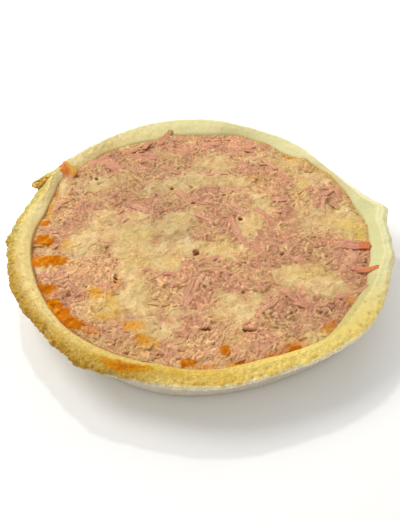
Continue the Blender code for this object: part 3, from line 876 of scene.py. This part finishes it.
gold_grain = smooth(0.0, 0.6, grain_coarse + 0.5 * grain_fine)
top_colour = blend_in(top_colour, BAKED_GOLD, 0.75 * orange * gold_grain)
red_grain = smooth(0.1, 0.7, small_mottle + 0.4 * grain_fine)
top_colour = blend_in(top_colour, SCORCHED_RED, 0.55 * orange * red_grain)
top_height += 0.3 * orange
top_height -= 0.25 * band(inward, 0.5, 1.0)
top_height = np.minimum(top_height, RIDGE_HEIGHT - UNDER_RIDGE)
set_points(filling, np.column_stack([top, top_height]))
paint(filling, "filling_colour", top_colour, 0.45 + 0.55 * rough)
bpy.ops.object.mode_set(mode="EDIT")
bpy.context.tool_settings.mesh_select_mode = (False, True, False)
bpy.ops.mesh.select_all(action="DESELECT")
bpy.ops.mesh.select_non_manifold()
bpy.ops.mesh.extrude_region_move()
bpy.ops.transform.resize(
    value=(FLOOR_RADIUS / BRIM_RADIUS, FLOOR_RADIUS / BRIM_RADIUS, 0.0),
    center_override=(0.0, 0.0, (FLOOR_THICKNESS + ABOVE_FLOOR) * MM),
)
bpy.ops.mesh.edge_face_add()
bpy.ops.mesh.select_all(action="SELECT")
bpy.ops.mesh.normals_make_consistent(inside=False)
bpy.ops.object.mode_set(mode="OBJECT")
filling.data.shade_smooth()
filling.data.materials.append(food_finish(
    "baked_custard", "filling_colour", roughness=0.23, grain=1050.0, bump_depth=0.46 * MM,
    tint_swing=0.36, soft_light=0.10, gloss=0.24,
))
# The browned spots and the small holes are dry, so they shine less than the rest.
filling.data.materials.append(food_finish(
    "browned_custard", "filling_colour", roughness=0.60, grain=1050.0, bump_depth=0.46 * MM,
    tint_swing=0.36, soft_light=0.04, gloss=0.04,
))
dry = np.zeros(len(filling.data.vertices))
dry[:len(top)] = np.maximum(orange, pierced)
dry_faces = [int(dry[list(face.vertices)].mean() > 0.5) for face in filling.data.polygons]
filling.data.polygons.foreach_set("material_index", dry_faces)
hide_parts("filling")
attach(filling, "root")

# The ham strips that lie on top: cooked ham cut 4 mm wide, limp, half sunk in the cheese. A few tips
# climb the inside of the rim, where they dried and browned in the oven.
STRIP_SIDES = 12
STRIP_STATIONS = 14
STRIP_THICKNESS = 2.0
# The strips in plain sight: middle, heading, length, bend, width, and how dried the far end is.
PLAIN_STRIPS = (
    (25, 4, -69, 39, 12, 4.6, 0.0), (46, 16, -71, 36, -55, 4.2, 0.0), (30.5, 98.5, -8, 21, 5, 3.8, 0.0),
    (29.5, 104.5, -16, 22, -5, 3.8, 0.0), (30, 93, -4, 20, 5, 3.8, 0.0), (26, 87.5, -6, 10, 0, 3.4, 0.0),
    (38, 86, -76, 9, 0, 4.2, 0.0), (49, 77, -47, 16, 60, 3.4, 0.0), (92.5, 51, -27, 24, -196, 3.4, 0.0),
    (88.5, 46, 42, 11, 10, 3.4, 0.0), (84.5, 34.5, -93, 17, 15, 3.2, 0.0),
    (78, 49.5, -68, 8, 0, 3.0, 0.0), (80, 35, -62, 10, 0, 5.0, 0.0), (92.5, 33.5, -40, 9, -30, 3.8, 0.0),
    (101.5, -6.5, -6, 23, 6, 7.5, 0.8), (106.0, -30, -6, 17, -4, 5.0, 0.8), (-44, 31, -39, 20, 15, 4.6, 0.0),
    (-13, 43, -46, 20, 0, 3.8, 0.0), (-29, -32, -16, 24, 30, 2.6, 0.0), (42, -64, 48, 22, 10, 3.4, 0.0),
    (56, -53, -44, 18, 0, 3.6, 0.0), (96, -51, 19, 24, 12, 4.4, 0.2), (-96.0, 66.5, 104, 19, 0, 12.5, 1.0),
    (22, 48, 20, 15, 0, 4.0, 0.0), (-26.5, 107, 60, 19, 20, 4.8, 0.5), (-39.5, 100, 58, 10, 0, 3.8, 0.3),
    (-71, 85.5, 48, 15, -50, 4.2, 0.3), (65, -57, -62, 15, 15, 3.2, 0.0), (17, -37, -70, 12, 0, 2.8, 0.0),
    (26, -42, -61, 15, 20, 3.0, 0.0), (-14, -43, 33, 16, 0, 3.2, 0.0), (-52, 92, 28, 14, 10, 3.4, 0.0),
    (-98, 33, 55, 15, 0, 3.6, 0.1), (-100, -37, -67, 14, 10, 3.6, 0.1), (56, 39, 6, 13, 0, 4.2, 0.0),
    (101, -18, -82, 15, 10, 7.0, 0.0), (-76, 78, -15, 13, -60, 4.0, 0.0), (34, 75, -30, 17, 20, 3.4, 0.0),
    (12, 66, 8, 20, -15, 3.0, 0.0), (2, 18, -38, 17, 10, 3.2, 0.0), (38, -12, -60, 21, 10, 3.0, 0.0),
    (60, -20, -35, 16, 0, 3.0, 0.0), (5, -22, 22, 18, -20, 3.0, 0.0), (-22, 70, -25, 17, 0, 3.2, 0.0),
    (-42, 86, 0, 23, -8, 7.5, 0.0), (-66, 77, -47, 23, 8, 7.5, 0.0), (-15, 92, -12, 18, 10, 6.0, 0.0),
    (25, 28, -40, 18, 10, 6.0, 0.0), (-6, -48, 68, 32, 0, 7.0, 0.0), (66, -60, -24, 13, 0, 8.0, 0.0),
    (-4, 38, -24, 24, 12, 5.5, 0.0), (60, 62, -50, 16, 20, 4.0, 0.0), (8, 100, 4, 16, 0, 5.0, 0.0),
)
LOOSE_STRIPS = 100
BROAD_STRIP = 5.0
FLAP_WIDTH = 10.0
FINGER_WIDTH = 2.9
# How proud of the filling a strip lies, in millimetres, and how much of it is coated, 0 to 1.
STRIP_LIE = (0.9, 0.1)
FLAP_LIE = (1.0, 0.1)
FINGER_LIE = (0.8, 0.2)
LOOSE_REACH = BRIM_RADIUS - 8.0
# How near to the filling's edge a strip begins to feel the slope of the rim.
RIM_FOOT = 2.5
STRIP_SEED = 41
HAM_PINK = ((206, 142, 112), (198, 130, 104), (212, 150, 120), (202, 136, 110))
CHEESY_EDGE = (228, 184, 142)
DRIED_TIP = (208, 112, 56)
TOASTED_HAM = (184, 132, 88)
BROWNED_FLAP = (216, 134, 30)
FLAP_YELLOW = (230, 196, 84)
FLAP_RED = (214, 102, 48)
FLAP_DARK = (150, 84, 16)


def strand_template(sides, stations):
    """Corners and faces of a closed strand one unit long and one unit across, made by extruding a disc."""
    bpy.ops.object.select_all(action="DESELECT")
    bpy.ops.mesh.primitive_circle_add(
        vertices=sides, radius=0.5, fill_type="NGON", location=(-0.5, 0.0, 0.0),
        rotation=(0.0, -math.pi / 2.0, 0.0),
    )
    strand = bpy.context.object
    bpy.ops.object.transform_apply(location=True, rotation=True, scale=True)
    bpy.ops.object.mode_set(mode="EDIT")
    bpy.ops.mesh.select_all(action="SELECT")
    for _ in range(stations):
        bpy.ops.mesh.extrude_region_move(TRANSFORM_OT_translate={"value": (1.0 / stations, 0.0, 0.0)})
    bpy.ops.mesh.select_all(action="SELECT")
    bpy.ops.mesh.normals_make_consistent(inside=False)
    bpy.ops.object.mode_set(mode="OBJECT")
    corners = np.array([corner.co[:] for corner in strand.data.vertices])
    faces = [list(face.vertices) for face in strand.data.polygons]
    bpy.data.objects.remove(strand, do_unlink=True)
    return corners, faces


slope_rows = np.flatnonzero((step_of > 3.0) & (step_of < 7.0))
slope_tree = find_tree(case_points[slope_rows, :2])


def ground(points):
    """Height of what lies under each place: the filling, or the inside of the rim beyond its edge."""
    heights = []
    for x, y in points:
        number = nearest(top_tree, x, y)
        here = top_height[number]
        if math.hypot(x, y) > math.hypot(*top[number]) - RIM_FOOT:
            on_slope = slope_rows[nearest(slope_tree, x, y)]
            here = max(here, case_points[on_slope, 2])
        heights.append(here)
    return np.array(heights)


def lay_strand(corners, stations, thickness, line, tone, edge_tone, proud, coated):
    """Corners and colours of one strand, at the middle line given, that follows what it lies on."""
    x, y, heading, length, bend, width, dried = line
    is_flap = width > FLAP_WIDTH
    route = bent_line(x, y, heading, length, bend, stations + 1)
    level_route = np.pad(route, ((0, 0), (0, 1)))
    route += 0.6 * np.column_stack([speckle(level_route, 6.0, seed) for seed in (3.0, 4.0)])
    level = ground(route)
    for _ in range(2 if dried > 0.5 else 3):
        soften(level)
    stops = np.arange(stations + 1)
    along = corners[:, 0] + 0.5
    place = along * stations
    course = np.gradient(route, axis=0)
    course /= np.linalg.norm(course, axis=1)[:, None]
    centre = np.column_stack([np.interp(place, stops, route[:, i]) for i in (0, 1)])
    ahead = np.column_stack([np.interp(place, stops, course[:, i]) for i in (0, 1)])
    bed = np.interp(place, stops, level)
    sunk = (1.0 - dried) * np.interp(place, stops, smooth(0.0, 0.8, speckle(level_route, 5.0, 17.0)))
    taper = np.clip(1.0 - np.abs(2.0 * along - 1.0) ** 6, 0.0, 1.0) ** 0.5
    taper = taper * (1.0 - 0.25 * dried * along ** 2) - 0.1 * dried * along ** 3
    squared = np.sign(corners[:, 1:]) * np.abs(2.0 * corners[:, 1:]) ** 0.7
    side = np.abs(squared[:, 0])
    blunt = 0.45 + 0.3 * dried * along
    narrowed = (blunt + (1.0 - blunt) * taper) * (1.0 + 0.15 * np.sin(5.0 * along + x))
    across = squared[:, 0] * 0.5 * width * narrowed
    if is_flap:
        across *= np.minimum(0.55 + 0.75 * along, 1.0) * np.minimum(2.0 * (1.05 - along), 1.0)
    above = squared[:, 1] * 0.5 * thickness * (0.5 + 0.5 * taper)
    above *= 1.0 - 0.45 * np.clip(squared[:, 1], 0.0, 1.0) * (1.0 - side) ** 2
    wobble = speckle(np.column_stack([centre, across]), 3.0, tone[0])
    across *= 1.0 + 0.28 * wobble
    rise = proud * (0.4 + 0.6 * taper) - 0.35 * thickness * sunk + 0.15 * wobble
    rise -= 0.5 * thickness * (1.0 - 0.5 * dried * (1.0 - taper))
    flat = np.column_stack([centre[:, 0] - across * ahead[:, 1], centre[:, 1] + across * ahead[:, 0]])
    if is_flap:
        bed = 0.25 * bed + 0.75 * ground(flat)
        rise += 0.5 * wobble + 0.8 * along * band(squared[:, 0], 0.0, 0.3)
        rise -= 1.6 * (1.0 - smooth(0.0, 0.4, along))
    points = np.column_stack([flat, np.minimum(bed + above + rise, cad_high[2] / MM)])
    streak = speckle(np.column_stack([place * 0.3, across * 2.2, above]), 1.6, x)
    colour = plain(tone, len(points)) * (1.0 + 0.26 * streak)[:, None]
    on_edge = smooth(0.55, 0.95, side) * smooth(-0.2, 0.4, above)
    colour = blend_in(colour, edge_tone, 0.65 * (1.0 - dried) * on_edge)
    around = np.array([top_colour[nearest(top_tree, px, py)] for px, py in points[:, :2]])
    ends = 1.0 - smooth(0.1, 0.5, taper)
    soaked = coated + (1.0 - coated) * np.maximum(np.maximum(smooth(0.0, -0.5, above), ends), 0.7 * sunk)
    wet = 1.0 - dried * smooth(0.1, 0.6, along)
    colour += (wet * np.clip(soaked, 0.0, 1.0))[:, None] * (around - colour)
    browning, browned_from = (DRIED_TIP, 0.5) if dried > 0.7 else (TOASTED_HAM, 0.2)
    if is_flap:
        browning, browned_from = BROWNED_FLAP, 0.22
    toast = smooth(browned_from, browned_from + 0.35, along + 0.25 * wobble + 0.15 * streak)
    colour = blend_in(colour, browning, min(2.0 * dried, 1.0) * toast)
    if is_flap:
        yellowest = smooth(0.1, 0.9, -squared[:, 0]) * smooth(0.3, 0.6, along)
        colour = blend_in(colour, FLAP_YELLOW, 0.85 * yellowest)
        reddest = band(squared[:, 0], 0.1, 0.45) * band(along, 0.6, 0.22)
        colour = blend_in(colour, FLAP_RED, 0.7 * reddest)
        colour = blend_in(colour, FLAP_DARK, 0.85 * smooth(0.78, 0.98, along + 0.1 * wobble))
    colour *= (1.0 - 0.35 * dried * smooth(0.6, 1.0, side) * along)[:, None]
    return points, colour


def join_strands(name, attribute, laid, corners, faces):
    """One mesh of many strands, each with its own colours."""
    starts = [number * len(corners) for number in range(len(laid))]
    joined = [[start + corner for corner in face] for start in starts for face in faces]
    mesh = bpy.data.meshes.new(name)
    mesh.from_pydata((np.concatenate([points for points, colour in laid]) * MM).tolist(), [], joined)
    thing = bpy.data.objects.new(name, mesh)
    bpy.context.scene.collection.objects.link(thing)
    paint(thing, attribute, np.concatenate([colour for points, colour in laid]), 1.0)
    mesh.shade_smooth()
    return thing


strip_corners, strip_faces = strand_template(STRIP_SIDES, STRIP_STATIONS)
strip_draw = np.random.default_rng(STRIP_SEED)
strip_lines = []
for strip_line in PLAIN_STRIPS:
    x, y, heading, length, bend, width, dried = strip_line
    if width <= BROAD_STRIP or width > FLAP_WIDTH:
        strip_lines.append((strip_line, *(FLAP_LIE if width > FLAP_WIDTH else STRIP_LIE)))
        continue
    # A broad slice lies torn into a few fingers that stay side by side.
    fingers = round(width / FINGER_WIDTH)
    c, s = math.cos(math.radians(heading)), math.sin(math.radians(heading))
    for finger in range(fingers):
        aside = (finger - (fingers - 1) / 2.0) * width / fingers
        ahead = strip_draw.normal(0.0, 0.04) * length * (1.0 - dried)
        finger_heading = heading + strip_draw.normal(0.0, 3.0)
        finger_length = length * (1.0 + (1.0 - dried) * strip_draw.normal(0.0, 0.08))
        finger_x, finger_y = x + ahead * c - aside * s, y + ahead * s + aside * c
        finger_width = (1.12 + 0.3 * dried) * width / fingers
        finger_line = (finger_x, finger_y, finger_heading, finger_length, bend, finger_width, dried)
        strip_lines.append((finger_line, *FINGER_LIE))
plain_count = len(strip_lines)
while len(strip_lines) < plain_count + LOOSE_STRIPS:
    x, y = strewn_place(strip_draw, LOOSE_REACH)
    shape = (strip_draw.normal(-12.0, 45.0), strip_draw.uniform(5.0, 22.0), strip_draw.normal(0.0, 40.0))
    width, proud = strip_draw.uniform(1.7, 3.4), strip_draw.uniform(0.2, 0.7)
    coated = strip_draw.uniform(0.35, 0.85)
    if strip_draw.uniform() < ham_rich[nearest(top_tree, x, y)]:
        strip_lines.append(((x, y, *shape, width, 0.0), proud, coated))
laid_strips = []
for strip_line, proud, coated in strip_lines:
    tone = HAM_PINK[strip_draw.integers(len(HAM_PINK))]
    laid_strips.append(lay_strand(
        strip_corners, STRIP_STATIONS, STRIP_THICKNESS, strip_line, tone, CHEESY_EDGE, proud, coated,
    ))
ham = join_strands("ham_strips", "ham_colour", laid_strips, strip_corners, strip_faces)
ham.data.materials.append(food_finish(
    "cooked_ham", "ham_colour", roughness=0.28, grain=1150.0, bump_depth=0.38 * MM,
    tint_swing=0.30, soft_light=0.10, gloss=0.22,
))
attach(ham, "root")

# The grated cheese on top: thin shreds of mild cheese that slumped and fused as they melted, so that
# each is a low ridge with its ends drowned in the rest.
CHEESE_SIDES = 6
CHEESE_STATIONS = 6
CHEESE_THICKNESS = 1.5
CHEESE_ON_TOP = 900
CHEESE_SEED = 67
CREAMY_EDGE = (232, 198, 150)
cheese_corners, cheese_faces = strand_template(CHEESE_SIDES, CHEESE_STATIONS)
cheese_draw = np.random.default_rng(CHEESE_SEED)
laid_cheese = []
while len(laid_cheese) < CHEESE_ON_TOP:
    x, y = strewn_place(cheese_draw, STREWN_REACH)
    shape = (cheese_draw.normal(-8.0, 48.0), cheese_draw.uniform(3.0, 9.0), cheese_draw.normal(0.0, 35.0))
    width, proud = cheese_draw.uniform(1.2, 2.1), cheese_draw.uniform(0.0, 0.35)
    coated = cheese_draw.uniform(0.65, 1.0)
    tone = CHEESE_TONES[cheese_draw.integers(len(CHEESE_TONES))]
    if cheese_draw.uniform() < 0.15 + 0.85 * ham_rich[nearest(top_tree, x, y)]:
        shred_line = (x, y, *shape, width, 0.0)
        laid_cheese.append(lay_strand(
            cheese_corners, CHEESE_STATIONS, CHEESE_THICKNESS, shred_line, tone, CREAMY_EDGE, proud, coated,
        ))
cheese = join_strands("cheese_shreds", "cheese_colour", laid_cheese, cheese_corners, cheese_faces)
cheese.data.materials.append(food_finish(
    "melted_cheese", "cheese_colour", roughness=0.26, grain=1150.0, bump_depth=0.36 * MM,
    tint_swing=0.28, soft_light=0.12, gloss=0.22,
))
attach(cheese, "root")

# Crumbs of the pastry's own broken edge, about a millimetre across and baked fast to the rim at its
# front and left. Each has mostly the colour of the crust that it sits on.
CRUMBS = 240
CRUMB_SEED = 29
CRUMB_SIDE = (-145.0, 40.0)
CRUMB_SECTION = (5.3, 7.0)
CRUMB_RADIUS = (0.25, 0.60)
CRUMB_TONES = ((222, 188, 96), (206, 166, 70), (190, 146, 52), (232, 206, 128))
bpy.ops.object.select_all(action="DESELECT")
bpy.ops.mesh.primitive_ico_sphere_add(subdivisions=2, radius=1.0)
crumb_ball = bpy.context.object
ball_corners = np.array([corner.co[:] for corner in crumb_ball.data.vertices])
ball_faces = [list(face.vertices) for face in crumb_ball.data.polygons]
bpy.data.objects.remove(crumb_ball, do_unlink=True)
crumb_draw = np.random.default_rng(CRUMB_SEED)
crumb_side = np.abs(away(azimuth, CRUMB_SIDE[0])) < CRUMB_SIDE[1]
crumb_ground = np.flatnonzero(crumb_side & (step_of > CRUMB_SECTION[0]) & (step_of < CRUMB_SECTION[1]))
laid_crumbs = []
for _ in range(CRUMBS):
    spot = crumb_ground[crumb_draw.integers(len(crumb_ground))]
    size = crumb_draw.uniform(*CRUMB_RADIUS)
    lumpy = 1.0 + 0.45 * speckle(ball_corners + spot * 0.1, 0.9)
    middle = case_points[spot] - case_normals[spot] * 0.1 * size
    points = middle + ball_corners * (size * lumpy)[:, None] * crumb_draw.uniform(0.7, 1.2, 3)
    tone = linear(CRUMB_TONES[crumb_draw.integers(len(CRUMB_TONES))])
    laid_crumbs.append((points, np.tile(0.3 * tone + 0.7 * colours[spot], (len(points), 1))))
crumbs = join_strands("pastry_crumbs", "crumb_colour", laid_crumbs, ball_corners, ball_faces)
crumbs.data.materials.append(food_finish(
    "baked_crumb", "crumb_colour", roughness=0.8, grain=900.0, bump_depth=0.3 * MM,
    tint_swing=0.16, soft_light=0.05, gloss=0.12,
))
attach(crumbs, "root")

# A flake of the pastry's edge that broke away at the back left of the rim. It hangs where it broke,
# thin and rough, and baked brown.
FLAKE_SIZE = (17.5, 6.2, 2.8)
FLAKE_PLACE = (-111.2, 53.4, 34.2)
FLAKE_TURNS = (-14.0, 4.0, 52.0)
FLAKE_BROWN = (186, 142, 56)
FLAKE_GOLD = (212, 180, 100)
FLAKE_DARK = (110, 76, 14)
bpy.ops.object.select_all(action="DESELECT")
bpy.ops.mesh.primitive_cube_add(size=1.0, location=(0.0, 0.0, 0.0))
flake = bpy.context.object
flake.name = "edge_flake"
bpy.ops.object.mode_set(mode="EDIT")
bpy.ops.mesh.select_all(action="SELECT")
bpy.ops.transform.resize(value=tuple(side * MM for side in FLAKE_SIZE))
bpy.ops.mesh.subdivide(number_cuts=3)
bpy.ops.object.mode_set(mode="OBJECT")
flake_softened = flake.modifiers.new("softened", "SUBSURF")
flake_softened.levels = flake_softened.render_levels = 2
bpy.ops.object.modifier_apply(modifier="softened")
flake.location = Vector(FLAKE_PLACE) * MM
flake.rotation_euler = [math.radians(angle) for angle in FLAKE_TURNS]
bpy.ops.object.transform_apply(location=True, rotation=True, scale=True)
flake_points = np.array([corner.co[:] for corner in flake.data.vertices]) / MM
flake_rough = speckle(flake_points, 2.2, 3.0)
flake_points += get_normals(flake) * (0.28 * flake_rough + 0.35 * speckle(flake_points, 4.5, 6.0))[:, None]
flake_points[:, 2] = np.minimum(flake_points[:, 2], cad_high[2] / MM)
set_points(flake, flake_points)
flake_colour = plain(FLAKE_BROWN, len(flake_points))
flake_colour = blend_in(flake_colour, FLAKE_GOLD, smooth(0.1, 0.8, flake_rough))
flake_colour = blend_in(flake_colour, FLAKE_DARK, smooth(0.1, 0.8, -flake_rough))
paint(flake, "flake_colour", flake_colour, 1.0)
flake.data.shade_smooth()
flake.data.materials.append(food_finish(
    "browned_flake", "flake_colour", roughness=0.8, grain=620.0, bump_depth=0.5 * MM,
    tint_swing=0.18, soft_light=0.05, gloss=0.12,
))
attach(flake, "root")
